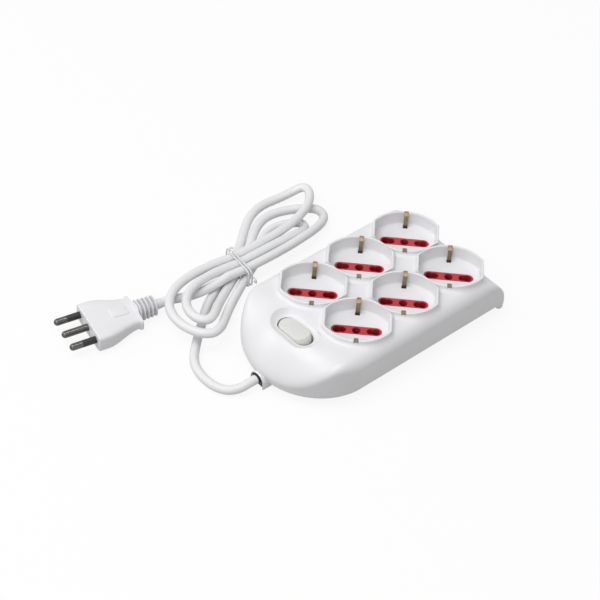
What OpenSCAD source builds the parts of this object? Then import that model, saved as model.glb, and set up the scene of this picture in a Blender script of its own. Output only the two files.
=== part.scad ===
// Six-way power strip with a rocker switch, a tied mains lead and a three-pin plug.
// Millimetres. X runs along the body from the cord end to the round far end, Z is up,
// and the origin is on the floor under the middle of the body.

/* [Body] */
// Length of the body
body_length = 184; // [176:1:214]
// Width of the body at its widest, under the rounded top edge
body_width = 102; // [99:0.5:116]
// Height of the top surface above the floor
top_height = 35; // [34:0.5:40]
// How far each side leans in from its widest line to its bottom edge
side_draft = 2.5; // [0:0.25:3]
// Radius of the rounded top edge
edge_round = 9; // [6:0.5:12]
// Length of the half ellipse at the cord end
nose_length = 48; // [40:1:58]
// Radius of the round drop at the far end
end_round = 33; // [28:0.5:33.5]
// Height of the bottom edge of the side walls above the floor
skirt_lift = 5; // [3.5:0.5:6.5]
// Thickness of the two covers
wall = 2.2; // [1.8:0.1:2.6]
// Thickness of the lip that stands on the floor at the far end
lip = 4; // [3:0.5:6]
// Gap between pieces that drop into one another
clearance = 0.2; // [0.1:0.05:0.3]

/* [Sockets] */
// Distance between sockets along the body
pitch_x = 42.8; // [42.4:0.1:46]
// Distance between sockets across the body
pitch_y = 44.4; // [43.6:0.1:46]
// Distance from the far end to the second column of sockets
grid_from_end = 76; // [74:0.5:80]
// Turn of the socket slots
slot_turn = -45; // [-46:0.5:-44]
// Height of the collar rims above the top surface
rim_rise = 4; // [2:0.5:5]
// Depth of a recess, rim to floor
recess_depth = 10.5; // [9:0.5:12]
// Half size of a collar across its slot
collar_reach = 21.2; // [20.8:0.1:21.6]
// Half size of a collar along its slot, to the flats
collar_flat = 23.1; // [22.6:0.1:23.4]
// Radius of the two arcs of a collar
collar_arc = 27.5; // [26:0.5:32]
// Thickness of a collar
collar_wall = 1.7; // [1.5:0.1:2]
// Thickness of the floor of a recess
cup_floor = 2; // [1.6:0.1:2.4]
// Width of the strip of top surface left between the two rows
spine = 1.4; // [1.2:0.1:1.6]
// Length of a red insert
insert_length = 34; // [33:0.25:35]
// Width of a red insert
insert_width = 7.4; // [7:0.1:8]
// Distance between the outer holes for the thicker pins
hole_span = 26; // [25.5:0.1:26.5]
// Diameter of the outer and middle holes
hole_d = 5.9; // [5.6:0.1:6]
// Distance between the inner holes for the thinner pins
small_hole_span = 19; // [18.5:0.1:19.5]
// Diameter of the inner holes
small_hole_d = 5.2; // [4.6:0.1:5.4]
// Width of an earth clip
clip_width = 3; // [2.5:0.1:3.5]
// Thickness of the brass strips
brass = 0.8; // [0.6:0.1:1]

/* [Switch] */
// Distance from the cord end to the middle of the switch
switch_from_nose = 30.5; // [29:0.5:34]
// Length of the rocker, across the body
rocker_length = 28; // [26:0.5:29]
// Width of the rocker
rocker_width = 13; // [11:0.5:14]
// Tilt of the rocker to each side
rocker_tilt = 9; // [6:0.5:9.5]
// Height of the rocker's pivot under the top surface
pivot_drop = 8; // [7.5:0.25:9]
// Diameter of the rocker's pivot
pivot_d = 3; // [2.5:0.25:3.5]
// Depth of the pocket round the rocker
pocket_depth = 4; // [3:0.25:4.5]
// Width of the pocket's slope
pocket_slope = 3.6; // [3:0.2:5]

/* [Cord and plug] */
// Diameter of the cord
cord_d = 6.5; // [6:0.1:7.1]
// Diameter of the wires inside
wire_d = 2; // [1.6:0.1:2.1]
// Diameter of the wire of the tie
tie_d = 1.2; // [1:0.1:1.4]
// Diameter of the plug's pins
pin_d = 5; // [4.8:0.1:5.2]
// Length of the plug's pins
pin_length = 19; // [18:0.5:20]
// Distance between the outer pins
pin_span = 26; // [25:0.5:27]
// Length of the black sleeve on an outer pin
sleeve_length = 10; // [8:0.5:12]
// Width of the plug at its pins
plug_width = 41; // [38:0.5:44]
// Width of the plug at its back
plug_back = 27; // [24:0.5:30]
// Thickness of the plug
plug_height = 16; // [14:0.5:17]
// Length of the plug's body
plug_length = 35; // [32:0.5:38]
// Length of the ribbed strain relief
relief_length = 20; // [20:0.5:24]

/* [Hidden] */
$fn = 48;
x_end = body_length / 2;
x_tip = -body_length / 2;
x_nose = x_tip + nose_length;
half_width = body_width / 2;
rim_z = top_height + rim_rise;
floor_z = rim_z - recess_depth;
cup_bottom = floor_z - cup_floor;
row_y = pitch_y / 2;

// Columns of sockets: as many as fit between the switch and the column at the far end
switch_x = x_tip + switch_from_nose;
rocker_end_gap = 1;
rocker_side_gap = 0.4;
slot_length = rocker_length + 2 * rocker_end_gap;
slot_width = rocker_width + 2 * rocker_side_gap;
switch_gap = 30;
last_column = x_end - grid_from_end + pitch_x;
columns = 1 + floor((last_column - switch_gap - switch_x) / pitch_x);
SPOTS = [for (row = [1, -1], k = [columns - 1:-1:0]) [last_column - k * pitch_x, row * row_y]];

// Angles of the facets on the cord end and the rounded top edge
nose_step = 9;
edge_step = 18;
// The cups reach down behind the falling top surface by this much
cup_skirt = 8;

// Base cover
base_slope = 3;
base_inset = side_draft + wall + 3.5 * clearance;
base_wall_top = skirt_lift + 5;
base_end = x_end - lip - 5.5;
post_top = 5;
boss_d = 8;
screw_d = 2.8;
screw_head_d = 5.8;
screw_seat = 2.6;
screw_length = 13;
clamp_screw_length = 9;

// Busbars, measured across the body from the middle of a row, and their spring leaves
bar_width = 4.5;
bar_step = (hole_span + small_hole_span) / 4 * cos(45);
contact_top = cup_bottom - 5;
contact_gap = hole_d + 0.3;
leaf_length = 7;
leaf_span = contact_gap + 2 * brass;
leaf_reach = (leaf_length + leaf_span) / 2 * cos(45);
bar_start = SPOTS[0].x - bar_step - leaf_reach - 2 * wire_d;
bar_stop = base_end - wall - 0.5;
bar_z = wall;
bar_top = bar_z + brass;

// Screw bosses: between the columns, beside the ends of the bars, and in the cord end
boss_from_end = 14;
bar_side = row_y + bar_step + bar_width / 2;
BOSSES = [
    for (k = [0.5:1:columns - 1.5]) [last_column - k * pitch_x, 0],
    for (side = [-1, 1]) [x_end - boss_from_end, side * (bar_side + boss_d / 2 + 2.6)],
    for (side = [-1, 1]) [x_nose - 12, side * (half_width - 15)],
];

// Inserts
flange_length = 2 * (collar_flat - collar_wall) - 1.6;
flange_width = insert_width + 4;
flange_drop = 3;
leg_size = [3, 4];

// Switch
pivot_z = top_height - pivot_drop;
pocket_z = top_height - pocket_depth;
housing_wall = 1.4;
housing_bottom = 15;
housing_in = [rocker_width + 1.2, rocker_length + 2.4];
tab_bottom = 9;
TABS = [for (x = [-4, 4], y = [-9, 9]) [switch_x + x, y]];

// Cord outlet
outlet_z = 6.2;
bushing_d = 12;
bushing_face = x_tip - 2.4;
bushing_inside = bushing_face + 20;
sheath_end = bushing_inside + 9;
clamp_x = bushing_inside + 4.4;
clamp_span = 16;

// Plug: middle of its front face on the floor, and the way its pins point
plug_spot = [-154, 105];
plug_bearing = 168;
plug_axis_z = plug_height / 2;

// Hank: a figure of eight drawn in by the tie. Each loop goes out on one side and back on the
// other, and its numbers are reach, spread, turn of its tip, place in the tie on the way in and
// on the way out, layer in, layer out, where the change of layer starts and ends in degrees of
// the loop, bulge of the first side, height over the strands below, and fullness of the tip.
waist = [-35.5, 88.6];
hank_axis = 11;
waist_turn = 17;
strand_step = cord_d + 0.8;
loop_scale = strand_step / 7.3;
lay_z = cord_d / 2;
waist_lift = tie_d + 0.5;
hank_lead = 36;
hank_tail = 14;
loop_rings = 24;
LOOPS = [
    [97, 14.6, 6.5, 1, 1, 0, 1, 50, 100, 20.5, 0, 0.06],
    [80, 18, 16, 1, -1, 1, 0, 114, 170, 0, 5.5, 0.4],
    [69, 8.9, 1.5, -1, 0, 0, 1, 95, 150, 14.5, 0, 0.5],
    [67, 13, 16, 0, 0, 1, 0, 114, 170, 0, 6.6, 0.3],
    [91, 14.8, 1, 0, -1, 0, 1, 95, 150, 19.5, 0, 0.05],
];
odd_way = hank_axis + waist_turn;
even_way = hank_axis - waist_turn;
lead_way = [cos(odd_way), sin(odd_way), 0];
tail_way = [-cos(even_way), -sin(even_way), 0];
hank_start = loop_point(0, 0) - (hank_lead - cord_d) * lead_way - [0, 0, waist_lift];
hank_stop = loop_point(len(LOOPS) - 1, 180) + (hank_tail - cord_d) * tail_way;
hank_points = concat(
    [hank_start - cord_d * lead_way, hank_start],
    [for (i = [0:len(LOOPS) - 1], k = [0:loop_rings - 1]) loop_point(i, 180 * k / loop_rings)],
    [loop_point(len(LOOPS) - 1, 180), hank_stop, hank_stop + cord_d * tail_way]
);

// Least gap of the hank to itself, on its points, away from each point's own stretch
hank_gap = min([
    for (i = [0:len(hank_points) - 1], j = [i + 1:1:len(hank_points) - 1])
        if (j - i > 6)
            norm(hank_points[i] - hank_points[j]) - cord_d
]);
echo(hank_gap = hank_gap);

// Routes of the free cord: from the bushing to the hank, and from the hank to the plug
lead_route = [
    [bushing_face, 0, outlet_z],
    [bushing_face - 7, 0, outlet_z],
    [-107, 1.2, 4.9],
    [-112.6, 4.6, 3.8],
    [-116.8, 10.6, lay_z + 0.1],
    [-118.8, 19, lay_z],
    [-118.4, 28.5, lay_z],
    [-115.8, 37, lay_z],
    [-111, 44, lay_z],
    [-105, 50, lay_z],
    [-98.5, 55.8, lay_z],
    [-88, 64.6, lay_z],
    [-78.5, 72.6, lay_z],
];
tail_route = [
    [-60, 83.4, 10.5],
    [-70, 84.8, 8.6],
    [-79, 86.6, 8],
    [-86.5, 89.2, 8],
];
plug_way = [cos(plug_bearing), sin(plug_bearing), 0];
relief_end = [plug_spot.x, plug_spot.y, plug_axis_z] - (plug_length + relief_length) * plug_way;

// The tie goes twice round the strands, square to the upper ones
tie_turns = 2;
tie_pitch = 2 * tie_d;
top_strand = max([for (loop = LOOPS) loop[6]]) * strand_step;
tie_half = [2.1 * strand_step, (top_strand + cord_d + tie_d) / 2 + 0.4];
tie_mid = lay_z + waist_lift + top_strand / 2;
tie_bearing = even_way;

// Where an earth clip stands in its cup, and one arm of a clip: up through the floor, out to the
// rim and over it
clip_line = collar_reach - collar_wall - 3.2;
clip_notch = 3.4;
clip_arm = [
    [0, contact_top + brass / 2],
    [clip_line, contact_top + brass / 2],
    [clip_line, rim_z - 3.4],
    [clip_line + 0.7, rim_z - 1.6],
    [collar_reach - collar_wall, rim_z - 0.6],
    [collar_reach - 0.6, rim_z - 0.6],
    [collar_reach - 0.2, rim_z - clip_notch + 1],
];

// Rocker heights above its pivot, and the links between the rows of bars
rocker_foot = -3.5;
rocker_crown = pivot_drop - 1.1;
rocker_edge = pivot_drop - 6.6;
rocker_ridge = 4.5;
link_x = bar_stop - 3.2;
relief_ribs = 5;
sleeve_wall = 0.6;

function unit(v) = v / norm(v);
function heading(angle) = [cos(angle), sin(angle)];
function left_of(angle) = [-sin(angle), cos(angle)];
function ease(t) = let (u = min(max(t, 0), 1)) u * u * (3 - 2 * u);

// Closed solid through rings of equally many points, with flat ends
module skin(rings) {
    n = len(rings[0]);
    last = (len(rings) - 1) * n;
    sides = [
        for (i = [0:len(rings) - 2], j = [0:n - 1])
            let (a = i * n + j, b = i * n + (j + 1) % n)
                each [[a, a + n, b + n], [a, b + n, b]]
    ];
    ends = [[for (j = [0:n - 1]) j], [for (j = [n - 1:-1:0]) last + j]];
    polyhedron([for (ring = rings) each ring], concat(sides, ends), 4);
}

// Round tube along a route; up is a direction that the route never takes
function tube_rings(route, d, sides, first, last, up) = [
    for (i = [0:len(route) - 1])
        let (
            way = i == 0 ? first : i == len(route) - 1 ? last : unit(route[i + 1] - route[i - 1]),
            a = unit(cross(up, way)),
            b = cross(way, a)
        )
            [for (k = [0:sides - 1]) route[i] + d / 2 * (cos(360 * k / sides) * a + sin(360 * k / sides) * b)]
];
module tube(route, d, sides, first, last, up = [0, 0, 1]) {
    skin(tube_rings(route, d, sides, unit(first), unit(last), up));
}

module stadium(length, width) {
    square([length - width, width], center = true);
    for (side = [-1, 1])
        translate([side * (length - width) / 2, 0])
            circle(d = width);
}

module at_socket(i) {
    translate(SPOTS[i])
        rotate(slot_turn)
            children();
}

// Outline of a collar: two arcs and two flats
module collar(grow) {
    intersection() {
        translate([0, collar_reach - collar_arc])
            circle(r = collar_arc + grow, $fn = 96);
        translate([0, collar_arc - collar_reach])
            circle(r = collar_arc + grow, $fn = 96);
        square([2 * (collar_flat + grow), 4 * collar_arc], center = true);
    }
}

// Collar outlines end where they would meet their neighbours
module socket_outline(i, grow, gap_x, gap_y) {
    column = i % columns;
    near_x = (pitch_x - gap_x) / 2;
    near_y = (pitch_y - gap_y) / 2;
    left = column > 0 ? near_x : collar_arc;
    right = column < columns - 1 ? near_x : collar_arc;
    intersection() {
        at_socket(i)
            collar(grow);
        translate(SPOTS[i])
            scale([1, sign(SPOTS[i].y)])
                translate([-left, -near_y])
                    square([left + right, near_y + collar_arc]);
    }
}

// Outline of the body, from the far end round the cord end and back
function body_outline(inset, stations) = concat(
    [for (x = stations) [x, half_width - inset]],
    [
        for (a = [90 + nose_step:nose_step:270 - nose_step])
            [x_nose + (nose_length - inset) * cos(a), (half_width - inset) * sin(a)]
    ],
    [for (i = [len(stations) - 1:-1:0]) [stations[i], inset - half_width]]
);
function draft_at(z) = side_draft * (top_height - edge_round - z) / (top_height - edge_round - skirt_lift);

// Side view of the body: flat, then a round drop to the floor
module drop_view(thick, deep) {
    radius = end_round - thick;
    middle = [x_end - end_round + min(0, thick - deep), top_height - end_round];
    translate([x_tip - 5, -2])
        square([middle.x - x_tip + 5, middle.y + radius + 2]);
    translate([middle.x, -2])
        square([radius, middle.y + 2]);
    translate(middle)
        circle(r = radius, $fn = 96);
}

// Outer form of the top cover, or its hollow where thick and deep take off the walls
module cover_form(thick, deep) {
    top = top_height - thick;
    side_round = edge_round - thick;
    foot = thick > 0 ? -1 : 0;
    levels = concat(
        [[foot, draft_at(foot) + thick]],
        [for (a = [0:edge_step:90]) [top - side_round * (1 - sin(a)), thick + side_round * (1 - cos(a))]]
    );
    intersection() {
        drafted_form(levels, x_end);
        rotate([90, 0, 0])
            linear_extrude(2 * body_width, center = true)
                drop_view(thick, deep);
    }
}

// The body's outline through levels, each a height and an inset, with a flat far end
module drafted_form(levels, stop) {
    skin([for (level = levels) [for (p = body_outline(level[1], [stop, x_nose])) [p.x, p.y, level[0]]]]);
}

// Height of the top surface, lower along the round drop and over the rounded side edges
function fall(beyond, radius) = radius - sqrt(pow(radius, 2) - pow(max(0, beyond), 2));
function surface_z(x, y) = let (
    along = top_height - fall(x - x_end + end_round, end_round),
    across = top_height - fall(abs(y) - half_width + edge_round, edge_round)
) min(along, across);

module pocket(grow, low) {
    translate([switch_x, 0, 0])
        rotate(90)
            hull() {
                translate([0, 0, low])
                    linear_extrude(0.1)
                        stadium(slot_length + 0.4 + 2 * grow, slot_width + 0.4 + 2 * grow, $fn = 32);
                translate([0, 0, top_height - (grow > 0 ? 1 : 0.1)])
                    linear_extrude(0.2)
                        stadium(
                            slot_length + 2 * (pocket_slope + grow),
                            slot_width + 2 * (pocket_slope + grow),
                            $fn = 32
                        );
            }
}

module top_cover() {
    color("whitesmoke")
        difference() {
            union() {
                difference() {
                    cover_form(0, 0);
                    cover_form(wall, lip);
                    rotate([90, 0, 0])
                        linear_extrude(2 * body_width, center = true)
                            polygon([
                                [x_tip - 5, -1],
                                [x_end - lip, -1],
                                [x_end - lip, 0],
                                [base_end + 1, skirt_lift],
                                [x_tip - 5, skirt_lift],
                            ]);
                }
                pocket(wall, pocket_z - wall);
                for (spot = BOSSES) {
                    roof = surface_z(spot.x + boss_d / 2, abs(spot.y) + boss_d / 2);
                    translate([spot.x, spot.y, post_top])
                        cylinder(d = boss_d, h = roof - post_top - wall / 2);
                }
            }
            for (i = [0:len(SPOTS) - 1])
                translate([0, 0, cup_bottom - cup_skirt - wall])
                    linear_extrude(top_height)
                        socket_outline(i, clearance, -0.02, spine);
            pocket(0, pocket_z);
            translate([switch_x, 0, pocket_z - 2 * wall])
                linear_extrude(4 * wall)
                    rotate(90)
                        stadium(slot_length, slot_width);
            for (spot = BOSSES)
                translate([spot.x, spot.y, 0])
                    cylinder(d = screw_d + 0.1, h = screw_seat + screw_length + wall);
            outlet_cut();
        }
}

module outlet_cut() {
    start = x_tip - 5;
    translate([start, 0, outlet_z])
        rotate([0, 90, 0])
            cylinder(d = bushing_d - 2.4, h = bushing_inside + clearance - start);
}

module base_cover() {
    color("gainsboro")
        difference() {
            union() {
                difference() {
                    drafted_form(
                        [[0, base_inset + base_slope], [skirt_lift, base_inset], [base_wall_top, base_inset]],
                        base_end
                    );
                    drafted_form(
                        [[wall, base_inset + wall + base_slope / 2], [base_wall_top + 1, base_inset + wall]],
                        base_end - wall
                    );
                }
                for (spot = BOSSES)
                    translate([spot.x, spot.y, wall / 2])
                        cylinder(d = boss_d, h = post_top - wall / 2);
                for (side = [-1, 1])
                    translate([clamp_x, side * clamp_span / 2, wall / 2])
                        cylinder(d = 6, h = outlet_z - wall / 2);
            }
            for (spot = BOSSES)
                translate([spot.x, spot.y, -1]) {
                    cylinder(d = screw_head_d + 0.4, h = 1 + screw_seat);
                    cylinder(d = screw_d + 0.4, h = 10);
                    translate([0, 0, 1 + post_top])
                        cylinder(d = boss_d + 2 * clearance, h = 10);
                }
            for (side = [-1, 1])
                translate([clamp_x, side * clamp_span / 2, wall])
                    cylinder(d = screw_d - 0.4, h = 10);
            outlet_cut();
        }
}

module socket_cup(i) {
    color("white")
        difference() {
            translate([0, 0, cup_bottom - cup_skirt])
                linear_extrude(rim_z - cup_bottom + cup_skirt)
                    socket_outline(i, 0, clearance, spine + 2 * clearance);
            translate([0, 0, floor_z])
                linear_extrude(recess_depth + 1)
                    at_socket(i)
                        collar(-collar_wall);
            translate([0, 0, cup_bottom - cup_skirt - 1])
                linear_extrude(cup_skirt + 1)
                    at_socket(i)
                        collar(-collar_wall);
            translate([0, 0, cup_bottom - 1])
                linear_extrude(cup_floor + 2)
                    at_socket(i)
                        stadium(insert_length + 2 * clearance, insert_width + 2 * clearance);
            for (side = [-1, 1]) {
                clip_slot(i, side, cup_bottom - 1, floor_z + 1, clip_line - 2, clip_line + 1.4);
                clip_slot(i, side, rim_z - clip_notch, rim_z + 1, clip_line, collar_reach + 1);
            }
        }
}

// Slots for the arms of an earth clip
module clip_slot(i, side, low, high, near, far) {
    translate([0, 0, low])
        linear_extrude(high - low)
            at_socket(i)
                translate([0, side * (near + far) / 2])
                    square([clip_width + 2 * clearance, far - near], center = true);
}

module insert_holes() {
    circle(d = hole_d);
    for (side = [-1, 1]) {
        translate([side * hole_span / 2, 0])
            circle(d = hole_d);
        translate([side * small_hole_span / 2, 0])
            circle(d = small_hole_d);
        translate([side * (hole_span + small_hole_span) / 4, 0])
            square([(hole_span - small_hole_span) / 2, small_hole_d - 0.8], center = true);
    }
}

module socket_insert(i) {
    color("crimson")
        at_socket(i) {
            translate([0, 0, cup_bottom - flange_drop])
                linear_extrude(flange_drop)
                    difference() {
                        stadium(flange_length, flange_width);
                        insert_holes();
                    }
            translate([0, 0, cup_bottom])
                linear_extrude(cup_floor - 0.2)
                    difference() {
                        stadium(insert_length, insert_width);
                        insert_holes();
                    }
            for (side = [-1, 1])
                translate([side * (flange_length - leg_size.x) / 2, 0, (wall + cup_bottom - flange_drop) / 2])
                    cube([leg_size.x, leg_size.y, cup_bottom - flange_drop - wall], center = true);
        }
}

// Strip of even thickness along a line in the plane of the sheet
function strip(line, thick) = let (
    sides = [
        for (i = [0:len(line) - 1])
            let (
                a = i == 0 ? unit(line[1] - line[0]) : unit(line[i] - line[i - 1]),
                b = i == len(line) - 1 ? a : unit(line[i + 1] - line[i]),
                way = unit(a + b)
            )
                thick / 2 / (way * a) * [-way.y, way.x]
    ]
) concat(
    [for (i = [0:len(line) - 1]) line[i] + sides[i]],
    [for (i = [len(line) - 1:-1:0]) line[i] - sides[i]]
);

module earth_clip(i) {
    color("darkgoldenrod")
        at_socket(i)
            difference() {
                union() {
                    for (turn = [0, 180])
                        rotate(turn + 90)
                            rotate([90, 0, 0])
                                translate([0, 0, -clip_width / 2])
                                    linear_extrude(clip_width)
                                        polygon(strip(clip_arm, brass));
                    translate([0, 0, contact_top])
                        cylinder(d = 12, h = brass);
                }
                translate([0, 0, contact_top - 1])
                    cylinder(d = hole_d + 0.3, h = 3);
            }
}

// A busbar along one row, with a pair of spring leaves at each socket
module busbar(row, along, tone) {
    y = SPOTS[columns * row].y - along * bar_step;
    color(tone) {
        translate([bar_start, y - bar_width / 2, bar_z])
            cube([bar_stop - bar_start, bar_width, brass]);
        for (column = [0:columns - 1])
            translate([SPOTS[column].x + along * bar_step, y, bar_z])
                rotate(slot_turn) {
                    translate([-leaf_length / 2, -leaf_span / 2, 0])
                        cube([leaf_length, leaf_span, brass]);
                    for (side = [-1, 1])
                        translate([-leaf_length / 2, side * (contact_gap + brass) / 2 - brass / 2, 0])
                            cube([leaf_length, brass, contact_top - bar_z]);
                }
    }
}

module switch_housing() {
    color("dimgray")
        difference() {
            translate([switch_x, 0, (housing_bottom + pocket_z - wall) / 2])
                cube(
                    [
                        housing_in.x + 2 * housing_wall,
                        housing_in.y + 2 * housing_wall,
                        pocket_z - wall - housing_bottom
                    ],
                    center = true
                );
            translate([switch_x, 0, housing_bottom + housing_wall + 20])
                cube([housing_in.x, housing_in.y, 40], center = true);
            translate([switch_x, 0, pivot_z])
                rotate([0, 90, 0])
                    cylinder(d = pivot_d + 0.1, h = 40, center = true);
        }
}

// Rocker, drawn level about its pivot and then tipped to its resting side
module rocker() {
    color("ivory")
        translate([switch_x, 0, pivot_z])
            rotate([-rocker_tilt, 0, 0]) {
                intersection() {
                    translate([0, 0, rocker_foot])
                        linear_extrude(30)
                            rotate(90)
                                stadium(rocker_length, rocker_width);
                    rotate([0, 90, 0])
                        cylinder(d = rocker_length, h = 2 * rocker_width, center = true, $fn = 96);
                    rotate([90, 0, 90])
                        translate([0, 0, -rocker_width])
                            linear_extrude(2 * rocker_width)
                                polygon([
                                    [-rocker_length, rocker_foot],
                                    [rocker_length, rocker_foot],
                                    [rocker_length / 2, rocker_crown],
                                    [-rocker_ridge, rocker_crown - 0.7],
                                    [-rocker_length / 2, rocker_edge],
                                ]);
                }
                rotate([0, 90, 0])
                    cylinder(d = pivot_d, h = housing_in.x + 2 * housing_wall - 0.6, center = true);
            }
}

module switch_contacts() {
    color("darkgoldenrod")
        for (side = [-1, 1])
            translate([switch_x + side * 4.5, 0, 0]) {
                translate([-1.25, -10, pivot_z - 7])
                    cube([2.5, 20, brass]);
                translate([-1.25, -0.75, housing_bottom + housing_wall])
                    cube([2.5, 1.5, pivot_z - 7 - housing_bottom - housing_wall]);
            }
}

module switch_terminals() {
    color("silver")
        for (tab = TABS)
            translate([tab.x, tab.y, (tab_bottom + housing_bottom) / 2])
                cube([brass, 4.8, housing_bottom - tab_bottom], center = true);
}

module neon_lamp() {
    color("orange")
        translate([switch_x, 6, housing_bottom + housing_wall + 2.1])
            rotate([-90, 0, 0]) {
                cylinder(d = 4, h = 6);
                translate([0, 0, 6])
                    sphere(d = 4);
            }
}

module cord_bushing() {
    color("white")
        translate([bushing_face, 0, outlet_z])
            rotate([0, 90, 0])
                rotate_extrude()
                    polygon([
                        [0, 0],
                        [cord_d / 2, 0],
                        [cord_d / 2, 2.2],
                        [bushing_d / 2 - 1.1, 2.2],
                        [bushing_d / 2 - 1.1, 0.4],
                        [bushing_d / 2 - 0.8, 0],
                        [bushing_d / 2 - 0.3, 0],
                        [bushing_d / 2, 0.3],
                        [bushing_d / 2, 3.6],
                        [bushing_d / 2 - 1.4, 3.8],
                        [cord_d / 2 + 0.7, bushing_inside - bushing_face],
                        [0, bushing_inside - bushing_face],
                    ]);
}

module cord_inner_end() {
    color("white")
        translate([bushing_inside, 0, outlet_z])
            rotate([0, 90, 0])
                cylinder(d = cord_d, h = sheath_end - bushing_inside);
}

module cord_clamp() {
    color("gainsboro")
        difference() {
            translate([clamp_x - 3, -clamp_span / 2 - 4, outlet_z])
                cube([6, clamp_span + 8, 5.5]);
            translate([clamp_x, 0, outlet_z])
                rotate([0, 90, 0])
                    cylinder(d = cord_d + clearance, h = 20, center = true);
            for (side = [-1, 1])
                translate([clamp_x, side * clamp_span / 2, 0])
                    cylinder(d = screw_d, h = 30);
        }
}

module clamp_screws() {
    color("silver")
        for (side = [-1, 1])
            translate([clamp_x, side * clamp_span / 2, outlet_z + 5.5]) {
                cylinder(d = 5, h = 1.6);
                translate([0, 0, -clamp_screw_length])
                    cylinder(d = screw_d - 0.5, h = clamp_screw_length);
            }
}

module cover_screws() {
    color("silver")
        for (spot = BOSSES)
            translate([spot.x, spot.y, screw_seat]) {
                translate([0, 0, -1.8])
                    cylinder(d = screw_head_d, h = 1.8);
                cylinder(d = screw_d, h = screw_length);
            }
}

// Wires inside the housing, from face to face
module wire(tone, route, first, last, up) {
    color(tone)
        tube(route, wire_d, 8, first, last, up);
}

// From the cord's inner end to a tab of the switch, on the side given
module supply_wire(side, tone) {
    tab = [TABS[3].x, side * TABS[3].y];
    start = [sheath_end, side * 1.8, outlet_z + 1];
    wire(
        tone,
        [
            start,
            start + [2, 0, 0],
            [tab.x - 3, side * 5, outlet_z],
            [tab.x - 0.6, tab.y - side * 1.2, outlet_z],
            [tab.x, tab.y, tab_bottom - 1.6],
            [tab.x, tab.y, tab_bottom]
        ],
        [1, 0, 0],
        [0, 0, 1],
        [0.35, side, 0.2]
    );
}

// From a tab of the switch to the nearest bar of the same pole
module switched_wire(side, tone) {
    tab = [TABS[1].x, side * TABS[1].y];
    land = [bar_start + wire_d, side * (row_y - bar_step)];
    wire(
        tone,
        [
            [tab.x, tab.y, tab_bottom],
            [tab.x, tab.y, tab_bottom - 1.6],
            [tab.x + 2, tab.y + side * 2.5, wall + 2.8],
            [(tab.x + land.x) / 2, (tab.y + land.y) / 2 + side * 1.8, wall + 2.6],
            [land.x - 3, land.y, wall + 3.6],
            [land.x, land.y, bar_top + 1.8],
            [land.x, land.y, bar_top]
        ],
        [0, 0, -1],
        [0, 0, -1],
        [0.35, side, 0.2]
    );
}

module earth_wire() {
    land = [bar_start + wire_d, row_y];
    wire(
        "limegreen",
        [
            [sheath_end, 0, outlet_z - 2.2],
            [sheath_end + 3, 0, outlet_z - 2.2],
            [sheath_end + 9, 3.5, outlet_z - 1],
            [land.x - 12, land.y - 12.5, outlet_z + 3],
            [land.x - 6, land.y - 5, outlet_z + 3.6],
            [land.x - 1.6, land.y - 0.8, outlet_z + 1.6],
            [land.x, land.y, bar_top + 2],
            [land.x, land.y, bar_top]
        ],
        [1, 0, 0],
        [0, 0, -1],
        [-0.5, 1, 0.2]
    );
}

// From bar to bar across the body, over the bars between
module link_wire(tone, from, to, height) {
    wire(
        tone,
        [
            [from.x, from.y, bar_top],
            [from.x, from.y, height - 1.2],
            [from.x, from.y - 2.7, height],
            [from.x, (from.y + to.y) / 2, height],
            [from.x, to.y + 8, height],
            [to.x, to.y + 2.7, height],
            [to.x, to.y, height - 1.2],
            [to.x, to.y, bar_top]
        ],
        [0, 0, 1],
        [0, 0, -1],
        [1, 0, 0]
    );
}

module live_link_wire() {
    link_wire("saddlebrown", [link_x, row_y - bar_step], [link_x, -row_y - bar_step], bar_top + 2.4);
}

module earth_link_wire() {
    link_wire("limegreen", [link_x + 2.2, row_y], [link_x + 2.2, -row_y], bar_top + 2.4);
}

module neutral_link_wire() {
    link_wire("royalblue", [link_x + 1, row_y + bar_step], [link_x - 4, bar_step - row_y], bar_top + 5.6);
}

// Point of a loop of the hank, 0 at the tie, 90 at its tip, 180 at the tie again
function loop_point(i, a) = let (
    loop = LOOPS[i],
    first = a < 90 ? 1 : 0,
    hand = i % 2 == 0 ? 1 : -1,
    home = i % 2 == 0 ? hank_axis : hank_axis + 180,
    bearing = home + loop[2] * pow(sin(a), 2),
    out = loop_scale * loop[0] * sin(a),
    swing = loop[1] * sin(2 * a) * (0.7 + loop[11] * pow(sin(a), 2)),
    bulge = loop[9] * pow(sin(2 * a) * cos(a), 2) * first,
    wide = loop_scale * (swing + bulge),
    way_in = hand > 0 ? odd_way : even_way,
    way_out = hand > 0 ? even_way : odd_way,
    place_in = loop[3] * (1 + cos(a)) / 2 * left_of(way_in),
    place_out = loop[4] * (1 - cos(a)) / 2 * left_of(way_out),
    layer = loop[5] + (loop[6] - loop[5]) * ease((a - loop[7]) / (loop[8] - loop[7])),
    p = waist + out * heading(bearing) + hand * wide * left_of(bearing) + strand_step * (place_in + place_out),
    lift = waist_lift * pow(cos(a), 2) + loop[10] * sin(a) * layer
) [p.x, p.y, lay_z + layer * strand_step + lift];

module cord_lead() {
    color("white")
        tube(
            concat(lead_route, [hank_points[0]]),
            cord_d, 10, [-1, 0, 0], lead_way
        );
}

module cord_hank() {
    color("white")
        tube(hank_points, cord_d, 6, lead_way, tail_way);
}

module cord_tail() {
    color("white")
        tube(
            concat([hank_points[len(hank_points) - 1]], tail_route, [relief_end - cord_d * plug_way, relief_end]),
            cord_d, 10, tail_way, plug_way
        );
}

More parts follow.
